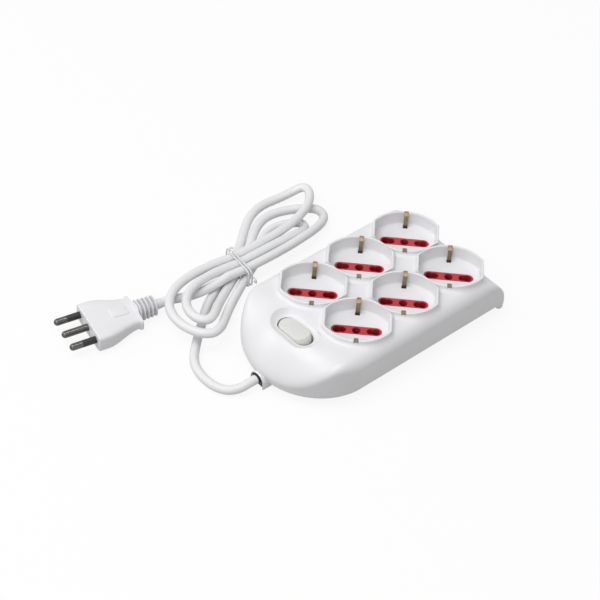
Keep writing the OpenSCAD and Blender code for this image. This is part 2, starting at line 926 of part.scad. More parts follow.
// Rounded outline of the tie's turns
function rounded(c) = sign(c) * pow(abs(c), 0.42);
module cord_tie() {
    points = [
        for (a = [60:15:60 + 360 * tie_turns])
            let (
                p = waist + heading(tie_bearing) * tie_pitch * ((a - 60) / 360 - tie_turns / 2)
                    + left_of(tie_bearing) * tie_half.x * rounded(cos(a))
            )
                [p.x, p.y, tie_mid + tie_half.y * rounded(sin(a))]
    ];
    color("lightgray")
        tube(
            points, tie_d, 6, unit(points[1] - points[0]),
            unit(points[len(points) - 1] - points[len(points) - 2]),
            [cos(tie_bearing), sin(tie_bearing), 0.001]
        );
}

module at_plug() {
    translate([plug_spot.x, plug_spot.y, plug_axis_z])
        rotate(plug_bearing)
            children();
}

// Section of the plug: a rounded box of the given half sizes
function plug_ring(x, half_y, half_z, power) = [
    for (a = [0:12:348])
        [x, half_y * sign(cos(a)) * pow(abs(cos(a)), power), half_z * sign(sin(a)) * pow(abs(sin(a)), power)]
];

module plug_body() {
    w = plug_width / 2;
    b = plug_back / 2;
    h = plug_height / 2;
    color("white")
        at_plug()
            skin([
                plug_ring(-plug_length, b + 1.6, h - 1.6, 0.45),
                plug_ring(1.8 - plug_length, b + 1.6, h - 1.6, 0.45),
                plug_ring(2 - plug_length, b, h - 1.8, 0.45),
                plug_ring(-0.72 * plug_length, b + 0.35 * (w - b), h - 0.8, 0.42),
                plug_ring(-0.45 * plug_length, w - 0.18 * (w - b), h - 0.2, 0.38),
                plug_ring(-0.3 * plug_length, w - 0.3, h, 0.34),
                plug_ring(-0.8, w, h - 0.2, 0.32),
                plug_ring(0, w - 0.8, h - 1, 0.32),
            ]);
}

module plug_strain_relief() {
    step = relief_length / (relief_ribs + 0.2);
    function core(x) = cord_d / 2 + 2.6 - 1.4 * x / relief_length;
    function rib(x) = cord_d / 2 + 4.4 - 1.6 * x / relief_length;
    color("white")
        at_plug()
            translate([-plug_length, 0, 0])
                rotate([0, -90, 0])
                    rotate_extrude()
                        polygon(concat(
                            [[0, 0], [core(0), 0]],
                            [
                                for (i = [0:relief_ribs - 1])
                                    let (x = (i + 0.45) * step)
                                        each [[core(x), x], [rib(x), x + 0.3], [rib(x), x + 1.9], [core(x), x + 2.2]]
                            ],
                            [[core(relief_length), relief_length], [0, relief_length]]
                        ));
}

module pin_form(from, thick) {
    rotate([0, 90, 0]) {
        translate([0, 0, from])
            cylinder(d = thick, h = pin_length - thick / 2 - from);
        translate([0, 0, pin_length - thick / 2])
            sphere(d = thick);
    }
}

module plug_pin_earth() {
    color("silver")
        at_plug()
            pin_form(0, pin_d);
}

module plug_pin_line(side) {
    color("silver")
        at_plug()
            translate([0, side * pin_span / 2, 0]) {
                pin_form(sleeve_length, pin_d);
                rotate([0, 90, 0])
                    cylinder(d = pin_d - 2 * sleeve_wall - 0.1, h = sleeve_length + 1);
            }
}

module pin_sleeve(side) {
    color("black")
        at_plug()
            translate([0, side * pin_span / 2, 0])
                rotate([0, 90, 0])
                    difference() {
                        cylinder(d = pin_d, h = sleeve_length);
                        translate([0, 0, -1])
                            cylinder(d = pin_d - 2 * sleeve_wall, h = sleeve_length + 2);
                    }
}

top_cover();
base_cover();
for (i = [0:len(SPOTS) - 1]) {
    socket_cup(i);
    socket_insert(i);
    earth_clip(i);
}
for (row = [0, 1]) {
    busbar(row, 1, "peru");
    busbar(row, -1, "peru");
    busbar(row, 0, "peru");
}
switch_housing();
rocker();
switch_contacts();
switch_terminals();
neon_lamp();
cord_bushing();
cord_inner_end();
cord_clamp();
clamp_screws();
cover_screws();
supply_wire(1, "saddlebrown");  // live_wire
supply_wire(-1, "royalblue");  // neutral_wire
earth_wire();
switched_wire(1, "saddlebrown");  // live_switch_wire
switched_wire(-1, "royalblue");  // neutral_switch_wire
live_link_wire();
neutral_link_wire();
earth_link_wire();
cord_lead();
cord_hank();
cord_tail();
cord_tie();
plug_body();
plug_strain_relief();
plug_pin_earth();
for (i = [0, 1]) {
    plug_pin_line(2 * i - 1);
    pin_sleeve(2 * i - 1);
}
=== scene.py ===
import math

import bmesh
import bpy
from mathutils import Matrix, Vector
from mathutils.geometry import delaunay_2d_cdt


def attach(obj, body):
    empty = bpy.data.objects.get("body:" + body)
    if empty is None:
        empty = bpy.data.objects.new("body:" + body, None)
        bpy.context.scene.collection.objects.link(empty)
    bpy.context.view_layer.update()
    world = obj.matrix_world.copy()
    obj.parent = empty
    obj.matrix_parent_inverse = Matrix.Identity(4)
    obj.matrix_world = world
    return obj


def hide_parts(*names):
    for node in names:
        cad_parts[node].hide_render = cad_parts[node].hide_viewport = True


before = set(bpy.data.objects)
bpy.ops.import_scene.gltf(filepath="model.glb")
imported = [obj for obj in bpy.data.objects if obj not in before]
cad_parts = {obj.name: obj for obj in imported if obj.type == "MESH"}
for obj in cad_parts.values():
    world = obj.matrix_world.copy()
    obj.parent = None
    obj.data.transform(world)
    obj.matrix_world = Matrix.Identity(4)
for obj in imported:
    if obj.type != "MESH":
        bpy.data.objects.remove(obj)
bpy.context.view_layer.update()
MM = 0.001
BODY = "strip"
ROCKER = "switch_rocker"

# Sizes of the solids, in millimetres
LENGTH, WIDTH, TOP = 184.0, 102.0, 35.0
DRAFT, EDGE, NOSE, DROP = 2.5, 9.0, 48.0, 33.0
SKIRT, WALL, LIP = 5.0, 2.2, 4.0
X_END, HALF = LENGTH / 2, WIDTH / 2
X_NOSE, X_DROP = NOSE - LENGTH / 2, LENGTH / 2 - DROP
FLAT_HALF, FLAT_NOSE = HALF - EDGE, NOSE - EDGE
PITCH_X, PITCH_Y = 42.8, 44.4
SOCKETS_X = X_END - 76.0
SPOTS = [(SOCKETS_X + c * PITCH_X, r * PITCH_Y / 2) for r in (1, -1) for c in (-1, 0, 1)]
RIM, FLOOR = 39.0, 28.5
REACH, FLAT, ARC, COLLAR = 21.2, 23.1, 27.5, 1.7
SWITCH_X, POCKET_Z, PIVOT_Z, TILT = 30.5 - LENGTH / 2, 31.0, 27.0, 9.0
SLOT_LENGTH, SLOT_WIDTH, POCKET_SLOPE = 30.0, 13.8, 5.0
ROCKER_LENGTH, ROCKER_WIDTH = 28.0, 13.0
INSERT_LENGTH, INSERT_WIDTH, CLIP_WIDTH, CLIP_LINE = 34.0, 7.4, 3.0, 16.3
CORD_D = 6.5
LAY = CORD_D / 2
OUTLET_Z, BUSHING_FACE = 6.2, -LENGTH / 2 - 2.4


# Camera
CAMERA_AT = (-681.4, -638.7, 916.5)
CAMERA_RIGHT = Vector((0.75426, -0.65384, 0.05987))
CAMERA_UP = Vector((0.42246, 0.55309, 0.71807))
CAMERA_BACK = Vector((-0.50261, -0.51632, 0.69339))
camera = bpy.data.objects.new("camera", bpy.data.cameras.new("camera"))
bpy.context.collection.objects.link(camera)
camera.data.sensor_width = 36.0
camera.data.lens = 114.0
camera.data.clip_end = 20.0
turn = Matrix((CAMERA_RIGHT, CAMERA_UP, CAMERA_BACK)).transposed().to_4x4()
camera.matrix_world = Matrix.Translation(Vector(CAMERA_AT) * MM) @ turn
bpy.context.scene.camera = camera
bpy.context.scene.view_settings.view_transform = "Standard"


# Materials: scales of the noises are per metre, depths of the grain in metres
CLOUDS, SHEEN, MOULD_DEPTH, MOULD_STRENGTH = 38, 160, 0.00004, 0.25
TARNISH, POLISH, SCRATCHES, SCRATCH_DEPTH = 220, 420, 900, 0.00003


def material(name, color, rough, **sockets):
    made = bpy.data.materials.new(name)
    made.use_nodes = True
    shader = made.node_tree.nodes["Principled BSDF"]
    shader.inputs["Base Color"].default_value = (*color, 1)
    shader.inputs["Roughness"].default_value = rough
    for key, value in sockets.items():
        shader.inputs[key.replace("_", " ")].default_value = value
    return made


def noise(made, scale, detail=3.0):
    tree = made.node_tree
    at = tree.nodes.new("ShaderNodeTexCoord")
    texture = tree.nodes.new("ShaderNodeTexNoise")
    texture.inputs["Scale"].default_value = scale
    texture.inputs["Detail"].default_value = detail
    tree.links.new(at.outputs["Object"], texture.inputs["Vector"])
    return texture.outputs["Fac"]


def vary(made, socket, fac, low, high):
    """A noise drives one socket of the shader between two values or two colours."""
    tree = made.node_tree
    ramp = tree.nodes.new("ShaderNodeValToRGB")
    ramp.color_ramp.elements[0].position = 0.3
    ramp.color_ramp.elements[1].position = 0.7
    ends = [v if isinstance(v, tuple) else (v, v, v) for v in (low, high)]
    for element, end in zip(ramp.color_ramp.elements, ends):
        element.color = (*end, 1)
    tree.links.new(fac, ramp.inputs["Fac"])
    tree.links.new(ramp.outputs["Color"], tree.nodes["Principled BSDF"].inputs[socket])


def vary_color(made, color, spread, scale):
    dark = tuple(max(0.0, c - spread) for c in color)
    light = tuple(min(1.0, c + spread) for c in color)
    vary(made, "Base Color", noise(made, scale), dark, light)


def bump(made, fac, strength, depth):
    tree = made.node_tree
    node = tree.nodes.new("ShaderNodeBump")
    node.inputs["Strength"].default_value = strength
    node.inputs["Distance"].default_value = depth
    tree.links.new(fac, node.inputs["Height"])
    tree.links.new(node.outputs["Normal"], tree.nodes["Principled BSDF"].inputs["Normal"])


def plastic(name, color, rough, spread=0.015, grain=2600):
    """Moulded plastic: a faint cloudiness in colour and gloss, and the fine grain of the mould."""
    made = material(name, color, rough)
    vary_color(made, color, spread, CLOUDS)
    vary(made, "Roughness", noise(made, SHEEN), rough - 0.04, rough + 0.05)
    bump(made, noise(made, grain, 2.0), MOULD_STRENGTH, MOULD_DEPTH)
    return made


def metal(name, color, rough, spread=0.04, swing=0.07, strength=0.12):
    """Bare metal: uneven colour and polish, and faint scratches."""
    made = material(name, color, rough, Metallic=1.0)
    vary_color(made, color, spread, TARNISH)
    vary(made, "Roughness", noise(made, POLISH), rough - swing, rough + swing)
    bump(made, noise(made, SCRATCHES, 4.0), strength, SCRATCH_DEPTH)
    return made


WHITE = plastic("white_moulding", (0.80, 0.80, 0.815), 0.32)
SHEATH = plastic("white_sheath", (0.80, 0.80, 0.81), 0.42, grain=1500)
PLUG = plastic("white_plug", (0.79, 0.79, 0.81), 0.38)
GREY = plastic("grey_moulding", (0.62, 0.62, 0.63), 0.5)
RED = plastic("red_moulding", (0.50, 0.024, 0.036), 0.33, spread=0.02)
IVORY = plastic("ivory_moulding", (0.71, 0.715, 0.685), 0.3)
DARK = plastic("dark_moulding", (0.03, 0.03, 0.032), 0.5, spread=0.005)
BLACK = plastic("black_sleeve", (0.012, 0.012, 0.013), 0.4, spread=0.004)
BROWN = plastic("live_insulation", (0.20, 0.09, 0.04), 0.45)
BLUE = plastic("neutral_insulation", (0.05, 0.16, 0.45), 0.45)
GREEN = plastic("earth_insulation", (0.22, 0.45, 0.06), 0.45)
TIE = plastic("tie_coating", (0.74, 0.74, 0.75), 0.3)
BRASS = metal("brass", (0.27, 0.21, 0.135), 0.45)
STEEL = metal("plated_steel", (0.55, 0.55, 0.56), 0.3)
# painted dark reflection: the pins' base colour is kept far darker than nickel's and stands in for
# dark surroundings mirrored in them
NICKEL_DARK_REFLECTION = metal("nickel_pin_painted_dark_reflection", (0.12, 0.116, 0.112), 0.2, spread=0.01, swing=0.01, strength=0.01)
LAMP = material("lamp_glass", (0.9, 0.45, 0.2), 0.1, Transmission_Weight=0.6)
vary(LAMP, "Base Color", noise(LAMP, 300), (0.85, 0.38, 0.15), (0.95, 0.5, 0.25))


def paint(names, made):
    for name in names:
        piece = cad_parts[name]
        piece.data.materials.clear()
        piece.data.materials.append(made)


def each(stem, count):
    return ["%s_%d" % (stem, i + 1) for i in range(count)]


PINS = ["plug_pin_earth", *each("plug_pin_line", 2)]
SLEEVES = each("pin_sleeve", 2)
paint(["base_cover", "cord_clamp"], GREY)
paint(each("socket_insert", 6), RED)
paint(each("earth_clip", 6), BRASS)
paint([n for kind in ("live", "neutral", "earth") for n in each(kind + "_bar", 2)], BRASS)
paint(["switch_contacts"], BRASS)
paint(["switch_housing"], DARK)
paint(["switch_terminals", "clamp_screws", "cover_screws"], STEEL)
paint(["neon_lamp"], LAMP)
paint(["cord_inner_end"], SHEATH)
paint(["live_wire", "live_switch_wire", "live_link_wire"], BROWN)
paint(["neutral_wire", "neutral_switch_wire", "neutral_link_wire"], BLUE)
paint(["earth_wire", "earth_link_wire"], GREEN)
paint(PINS, NICKEL_DARK_REFLECTION)
paint(SLEEVES, BLACK)


# Smooth faces and soft edges for the solids that show
CREASE = math.radians(32)


def smooth_faces():
    """A node group that shades faces smooth and keeps the creases sharp."""
    group = bpy.data.node_groups.new("smooth_faces", "GeometryNodeTree")
    group.interface.new_socket("Geometry", in_out="INPUT", socket_type="NodeSocketGeometry")
    group.interface.new_socket("Geometry", in_out="OUTPUT", socket_type="NodeSocketGeometry")
    start, end = group.nodes.new("NodeGroupInput"), group.nodes.new("NodeGroupOutput")
    faces, edges = (group.nodes.new("GeometryNodeSetShadeSmooth") for _ in range(2))
    edges.domain = "EDGE"
    edges.inputs["Shade Smooth"].default_value = False
    angle = group.nodes.new("GeometryNodeInputMeshEdgeAngle")
    steep = group.nodes.new("FunctionNodeCompare")
    steep.operation = "GREATER_THAN"
    steep.inputs["B"].default_value = CREASE
    group.links.new(start.outputs[0], faces.inputs["Geometry"])
    group.links.new(faces.outputs[0], edges.inputs["Geometry"])
    group.links.new(angle.outputs["Unsigned Angle"], steep.inputs["A"])
    group.links.new(steep.outputs["Result"], edges.inputs["Selection"])
    group.links.new(edges.outputs[0], end.inputs[0])
    return group


SMOOTH = smooth_faces()


def soften(names, width):
    for name in names:
        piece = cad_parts[name]
        if width:
            made = piece.modifiers.new("soft_edges", "BEVEL")
            made.width = width * MM
            made.segments = 3
            made.limit_method = "ANGLE"
            made.angle_limit = CREASE
        piece.modifiers.new("smooth_faces", "NODES").node_group = SMOOTH


soften(each("socket_insert", 6), 0.3)
soften(each("earth_clip", 6), 0.12)
soften(["base_cover", "cover_screws", "switch_housing"], 0.2)
soften([*PINS, *SLEEVES], 0)


# Making of pieces
def finish_mesh(name, mesh, made, body, nodes=(), sharp=35.0):
    """Links a mesh as a piece of the object, smooth apart from its sharp edges."""
    piece = bpy.data.objects.new(name, mesh)
    bpy.context.collection.objects.link(piece)
    mesh.materials.append(made)
    for polygon in mesh.polygons:
        polygon.use_smooth = True
    mesh.set_sharp_from_angle(angle=math.radians(sharp))
    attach(piece, body)
    if nodes:
        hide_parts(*nodes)
    return piece


def tube(name, line, d, made, body, nodes=(), resolution=6):
    """A round tube along a line of points, as a curve of one open spline."""
    data = bpy.data.curves.new(name, "CURVE")
    data.dimensions = "3D"
    data.bevel_depth = d / 2 * MM
    data.bevel_resolution = resolution
    data.use_fill_caps = True
    spline = data.splines.new("POLY")
    spline.points.add(len(line) - 1)
    for point, at in zip(spline.points, line):
        point.co = (*(Vector(at) * MM), 1)
    spline.use_smooth = True
    piece = bpy.data.objects.new(name, data)
    bpy.context.collection.objects.link(piece)
    data.materials.append(made)
    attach(piece, body)
    if nodes:
        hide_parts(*nodes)
    return piece


def grid_faces(rows, columns, closed):
    """Faces between rows of equally many points, the rows closed into rings or not."""
    faces = []
    for i in range(rows - 1):
        for j in range(columns if closed else columns - 1):
            a, b = i * columns + j, i * columns + (j + 1) % columns
            faces.append((a, b, b + columns, a + columns))
    return faces


class Skin:
    """Collects points and faces of one mesh."""

    WELD, SLIVER = 0.02, 0.001

    def __init__(self):
        self.points, self.faces = [], []

    def add(self, points, faces):
        start = len(self.points)
        self.points += points
        self.faces += [tuple(start + i for i in face) for face in faces]

    def rings(self, rings, closed=True):
        self.add([p for ring in rings for p in ring], grid_faces(len(rings), len(rings[0]), closed))

    def cap(self, ring):
        self.add(ring, [tuple(range(len(ring)))])

    def mesh(self, name):
        made = bpy.data.meshes.new(name)
        made.from_pydata([tuple(Vector(p) * MM) for p in self.points], [], self.faces)
        shaped = bmesh.new()
        shaped.from_mesh(made)
        bmesh.ops.remove_doubles(shaped, verts=shaped.verts, dist=self.WELD * MM)
        bmesh.ops.dissolve_degenerate(shaped, edges=shaped.edges, dist=self.SLIVER * MM)
        bmesh.ops.recalc_face_normals(shaped, faces=shaped.faces)
        shaped.to_mesh(made)
        shaped.free()
        return made


def catmull(points, parts):
    """A smooth line through points, in equal parts between each two."""
    points = [Vector(p) for p in points]
    line = []
    for i in range(len(points) - 1):
        b, c = points[i], points[i + 1]
        a = points[i - 1] if i else b * 2 - c
        d = points[i + 2] if i + 2 < len(points) else c * 2 - b
        for k in range(parts):
            t = k / parts
            line.append(
                0.5 * ((2 * b) + (c - a) * t + (2 * a - 5 * b + 4 * c - d) * t * t
                       + (3 * b - a - 3 * c + d) * t * t * t)
            )
    line.append(points[-1])
    return line


def heading(angle):
    return Vector((math.cos(math.radians(angle)), math.sin(math.radians(angle))))


def left_of(angle):
    return heading(angle + 90)


def ease(t):
    u = min(max(t, 0.0), 1.0)
    return u * u * (3 - 2 * u)


def circle(count):
    """Cosine and sine of each of a number of points all round."""
    turns = [math.radians(360 / count * k) for k in range(count)]
    return [(math.cos(t), math.sin(t)) for t in turns]


def quarter(step):
    """Sine and cosine over a quarter turn, in steps of so many degrees."""
    turns = [math.radians(a) for a in range(0, 91, step)]
    return [(math.sin(t), math.cos(t)) for t in turns]


def squared(value, power):
    """A cosine or sine pushed out, for a ring between a circle and a box."""
    return math.copysign(abs(value) ** power, value)


# Cord: the free lead, the hank and the stretch to the plug, on the route of the solids
WAIST, HANK_AXIS, WAIST_TURN = Vector((-35.5, 88.6)), 11.0, 17.0
ODD, EVEN = HANK_AXIS + WAIST_TURN, HANK_AXIS - WAIST_TURN
STRAND, LIFT = CORD_D + 0.8, 1.7
LEAD_RUN, TAIL_RUN = 36.0, 14.0
LOOP_RINGS, LOOP_WIDTH, ROUTE_PARTS = 24, 0.7, 4
# Each loop: reach, spread and turn of its tip; place among the strands, in and out; layer, in and
# out, and the degrees between which it changes; bulge on the way out, height, fullness of the tip
LOOPS = [
    (97, 14.6, 6.5, 1, 1, 0, 1, 50, 100, 20.5, 0, 0.06),
    (80, 18, 16, 1, -1, 1, 0, 114, 170, 0, 5.5, 0.4),
    (69, 8.9, 1.5, -1, 0, 0, 1, 95, 150, 14.5, 0, 0.5),
    (67, 13, 16, 0, 0, 1, 0, 114, 170, 0, 6.6, 0.3),
    (91, 14.8, 1, 0, -1, 0, 1, 95, 150, 19.5, 0, 0.05),
]
LAST_LOOP = len(LOOPS) - 1
PLUG_SPOT, PLUG_BEARING = Vector((-154.0, 105.0, 8.0)), 168.0
PLUG_LONG, RELIEF_LONG = 35.0, 20.0


def loop_point(i, a):
    """Point of a loop of the hank: 0 at the tie, 90 at its tip, 180 at the tie again."""
    reach, spread, tip, place_in, place_out, *rest = LOOPS[i]
    layer_in, layer_out, low, high, bulge, height, full = rest
    t = math.radians(a)
    s, c, double = math.sin(t), math.cos(t), math.sin(2 * t)
    first = 1 if a < 90 else 0
    hand = 1 if i % 2 == 0 else -1
    bearing = HANK_AXIS + (0 if hand > 0 else 180) + tip * s * s
    wide = spread * double * (LOOP_WIDTH + full * s * s) + bulge * (double * c) ** 2 * first
    way_in, way_out = (ODD, EVEN) if hand > 0 else (EVEN, ODD)
    shift = place_in * (1 + c) / 2 * left_of(way_in) + place_out * (1 - c) / 2 * left_of(way_out)
    layer = layer_in + (layer_out - layer_in) * ease((a - low) / (high - low))
    p = WAIST + reach * s * heading(bearing) + hand * wide * left_of(bearing) + STRAND * shift
    lift = LIFT * c * c + height * s * layer
    return Vector((p.x, p.y, LAY + layer * STRAND + lift))


LEAD_WAY = Vector((*heading(ODD), 0))
TAIL_WAY = Vector((*(-heading(EVEN)), 0))
PLUG_WAY = Vector((*heading(PLUG_BEARING), 0))
hank_start = loop_point(0, 0) - (LEAD_RUN - CORD_D) * LEAD_WAY - Vector((0, 0, LIFT))
hank_stop = loop_point(LAST_LOOP, 180) + (TAIL_RUN - CORD_D) * TAIL_WAY
hank = [hank_start - CORD_D * LEAD_WAY, hank_start]
hank += [loop_point(i, 180 * k / LOOP_RINGS) for i in range(len(LOOPS)) for k in range(LOOP_RINGS)]
hank += [loop_point(LAST_LOOP, 180), hank_stop, hank_stop + CORD_D * TAIL_WAY]
LEAD = [
    (BUSHING_FACE, 0, OUTLET_Z), (BUSHING_FACE - 7, 0, OUTLET_Z), (-107, 1.2, 4.9),
    (-112.6, 4.6, 3.8), (-116.8, 10.6, LAY + 0.1), (-118.8, 19, LAY), (-118.4, 28.5, LAY),
    (-115.8, 37, LAY), (-111, 44, LAY), (-105, 50, LAY), (-98.5, 55.8, LAY), (-88, 64.6, LAY),
    (-78.5, 72.6, LAY),
]
TAIL = [(-60, 83.4, 10.5), (-70, 84.8, 8.6), (-79, 86.6, 8), (-86.5, 89.2, 8)]
relief_end = PLUG_SPOT - (PLUG_LONG + RELIEF_LONG) * PLUG_WAY
route = [Vector(p) for p in LEAD] + hank + [Vector(p) for p in TAIL]
route += [relief_end - CORD_D * PLUG_WAY, relief_end]
cord_line = [Vector((p.x, p.y, max(p.z, LAY))) for p in catmull(route, ROUTE_PARTS)]
cord = tube("cord", cord_line, CORD_D, SHEATH, BODY, ["cord_lead", "cord_hank", "cord_tail"])


# Mouth: a thin arch that stands round the cord where it leaves the body, with a painted dark plate
# inside that stands in for the shade in its opening
MOUTH_X, MOUTH_HALF, MOUTH_TOP, MOUTH_SPRING, MOUTH_LOW = -93.4, 6.5, 11.2, 4.8, 0.3
MOUTH_WALL, MOUTH_BACK, THROAT = 0.7, 12.0, 1.6
MOUTH_LIP = [(0.3, 0.0), (0.08, -0.1), (0.0, -0.35), (0.08, -0.6), (0.3, -MOUTH_WALL)]


def arch(x, grow):
    """Points of an arch across the body: up one leg, over the top, down the other leg."""
    half, rise = MOUTH_HALF + grow, MOUTH_TOP + grow - MOUTH_SPRING
    leg = [(-half, MOUTH_LOW + (MOUTH_SPRING - MOUTH_LOW) * k / 4) for k in range(4)]
    turns = [math.radians(a) for a in range(0, 181, 6)]
    over = [(-half * math.cos(t), MOUTH_SPRING + rise * math.sin(t)) for t in turns]
    return [Vector((x, y, z)) for y, z in leg + over + [(-y, z) for y, z in reversed(leg)]]


def mouth_skin():
    skin = Skin()
    profile = [(MOUTH_BACK, 0.0), *MOUTH_LIP, (THROAT, -MOUTH_WALL)]
    rings = [arch(MOUTH_X + back, grow) for back, grow in profile]
    skin.rings(rings, False)
    for end in (0, -1):
        skin.cap([ring[end] for ring in rings])
    return skin.mesh("mouth_arch")


def painted_shade_throat_skin():
    """The back of the mouth and the cord's stub in front of it, both painted dark as shade where the
    opening lies in shadow.
    """
    skin = Skin()
    back = MOUTH_X + THROAT
    skin.cap(arch(back, -MOUTH_WALL))
    skin.rings([
        [Vector((x, LAY * c, OUTLET_Z + LAY * s)) for c, s in circle(24)] for x in (BUSHING_FACE, back)
    ])
    return skin.mesh("mouth_painted_shade")


finish_mesh("mouth_arch", mouth_skin(), WHITE, BODY, ["cord_bushing"])
# painted shade: a dark plate and cord stub where the mouth's opening is only in shadow
finish_mesh("mouth_painted_shade", painted_shade_throat_skin(), DARK, BODY)


# Tie: two turns round the strands, and the hook of its twisted ends
TIE_D, TIE_START, TIE_SQUARE, TIE_RESOLUTION = 1.2, 60, 0.42, 4
TIE_HALF = (2.1 * STRAND, (STRAND + CORD_D + TIE_D) / 2 + 0.4)
TIE_WAY, TIE_SIDE = Vector((*heading(EVEN), 0)), Vector((*left_of(EVEN), 0))
HOOK_FROM, HOOK_ASIDE, HOOK_R, HOOK_SINK, HOOK_PITCH = 540, 1.4, 2.0, 1.0, 1.2


def tie_point(a):
    out = squared(math.cos(math.radians(a)), TIE_SQUARE)
    up = squared(math.sin(math.radians(a)), TIE_SQUARE)
    along = 2 * TIE_D * ((a - TIE_START) / 360 - 1)
    p = WAIST + heading(EVEN) * along + left_of(EVEN) * TIE_HALF[0] * out
    return Vector((p.x, p.y, LAY + LIFT + STRAND / 2 + TIE_HALF[1] * up))


def hook_point(a):
    t = math.radians(a)
    start = tie_point(HOOK_FROM) + TIE_WAY * HOOK_ASIDE
    aside, up = -HOOK_SINK - HOOK_R * math.sin(t), HOOK_R * math.cos(t) - HOOK_SINK
    return start + TIE_SIDE * aside + TIE_WAY * (HOOK_PITCH * a / 360) + Vector((0, 0, up))


tie_line = [tie_point(a) for a in range(TIE_START, TIE_START + 721, 5)]
tie = tube("tie", tie_line, TIE_D, TIE, BODY, ["cord_tie"], TIE_RESOLUTION)
hook_line = [hook_point(a) for a in range(-40, 221, 20)]
tie_hook = tube("tie_hook", hook_line, TIE_D * 0.8, TIE, BODY, (), TIE_RESOLUTION)


# Plug: soft body with a plain raised plate and a shoulder, ribbed strain relief. Distances along
# it count from its front, and the pairs are distance and growth, growth and height, or radius and
# distance.
PLUG_HALF, BACK_HALF, PLUG_HIGH, BACK_LOWER, PLUG_SINK = 19.2, 13.0, 6.9, 1.8, 0.9
TAPER_FROM, TAPER_LONG, PLUG_SQUARE, BACK_SQUARE = 7, 26, 0.3, 0.45
FRONT_ROUND, SHOULDER_AT, SHOULDER_UP = 1, 33, 0.2
SHOULDER = [(33.1, 0.3), (33.1, 1.2), (33.2, 1.5), (33.5, 1.6), (34.6, 1.6), (34.9, 1.5), (35, 1.2)]
PLATE_AT, PLATE_LONG, PLATE_WIDE, PLATE_SQUARE = 23.0, 6.2, 4.3, 0.3
PLATE_EDGE = [(0.0, -1.0), (0.0, 0.4), (-0.12, 0.6), (-0.35, 0.7)]
RIBBED, RIBS, RIB_THICK, RIB_SOFT = 15.5, 5, 0.9, 0.3
CORE_R, CORE_TAPER, RIB_R, RIB_TAPER = LAY + 0.5, 0.2, LAY + 4.7, 0.6
RELIEF_FOOT = [(0.0, 0.0), (6.6, 0.0), (6.6, 0.9)]
RELIEF_NECK = [
    (LAY + 0.35, RIBBED + 0.5), (LAY + 0.3, RELIEF_LONG - 0.3), (LAY + 0.1, RELIEF_LONG),
    (0.0, RELIEF_LONG),
]


def at_plug(x, y, z):
    return PLUG_SPOT + x * PLUG_WAY + y * Vector((*left_of(PLUG_BEARING), 0)) + Vector((0, 0, z))


def plug_section(x, half_y, half_z, power):
    return [
        at_plug(-x, half_y * squared(c, power), half_z * squared(s, power) - PLUG_SINK)
        for c, s in circle(90)
    ]


def plug_shape(x):
    """Half width, half height and squareness of the plug at a distance behind its front."""
    t = ease((x - TAPER_FROM) / TAPER_LONG)
    half = PLUG_HALF + (BACK_HALF - PLUG_HALF) * t
    return half, PLUG_HIGH - BACK_LOWER * t, PLUG_SQUARE + (BACK_SQUARE - PLUG_SQUARE) * t


def plug_skin():
    skin = Skin()
    rings = []
    for s, c in quarter(15):
        inset, back = FRONT_ROUND * (1 - s), FRONT_ROUND * (1 - c)
        rings.append(plug_section(back, PLUG_HALF - inset, PLUG_HIGH - inset, PLUG_SQUARE))
    for x in range(FRONT_ROUND + 1, SHOULDER_AT + 1):
        rings.append(plug_section(x, *plug_shape(x)))
    wide, high, power = plug_shape(SHOULDER_AT)
    for x, out in SHOULDER:
        rings.append(plug_section(x, wide + out, high + min(SHOULDER_UP, out), power))
    skin.rings(rings)
    skin.cap(rings[0])
    skin.cap(rings[-1])
    return skin.mesh("plug_moulding")


def plate_skin():
    """A plain plate that stands a little proud of the plug's top."""
    skin = Skin()
    rings = []
    for grow, up in PLATE_EDGE:
        ring = []
        for c, s in circle(72):
            x = PLATE_AT + (PLATE_LONG + grow) * squared(c, PLATE_SQUARE)
            y = (PLATE_WIDE + grow) * squared(s, PLATE_SQUARE)
            ring.append(at_plug(-x, y, plug_shape(x)[1] + up - PLUG_SINK))
        rings.append(ring)
    skin.rings(rings)
    skin.cap(rings[-1])
    return skin.mesh("plug_plate")


def relief_skin():
    """A foot behind the plug, thin fins round a core, and a thin neck on the cord."""
    skin = Skin()
    step = RIBBED / (RIBS + 0.2)
    profile = list(RELIEF_FOOT)
    for i in range(RIBS):
        x = (i + 0.45) * step
        end = x + RIB_THICK
        core, rib = CORE_R - CORE_TAPER * x / RIBBED, RIB_R - RIB_TAPER * x / RIBBED
        profile += [(core, x), (rib - RIB_SOFT, x), (rib, x + RIB_SOFT)]
        profile += [(rib, end - RIB_SOFT), (rib - RIB_SOFT, end), (core, end)]
    profile += RELIEF_NECK
    skin.rings([[at_plug(-PLUG_LONG - x, r * c, r * s) for c, s in circle(48)] for r, x in profile])
    return skin.mesh("plug_relief")


on_cord = [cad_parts[n] for n in [*PINS, *SLEEVES]]
on_cord += [
    finish_mesh("plug_moulding", plug_skin(), PLUG, BODY, ["plug_body"], 40.0),
    finish_mesh("plug_plate", plate_skin(), PLUG, BODY, (), 60.0),
    finish_mesh("plug_relief", relief_skin(), PLUG, BODY, ["plug_strain_relief"], 40.0),
]


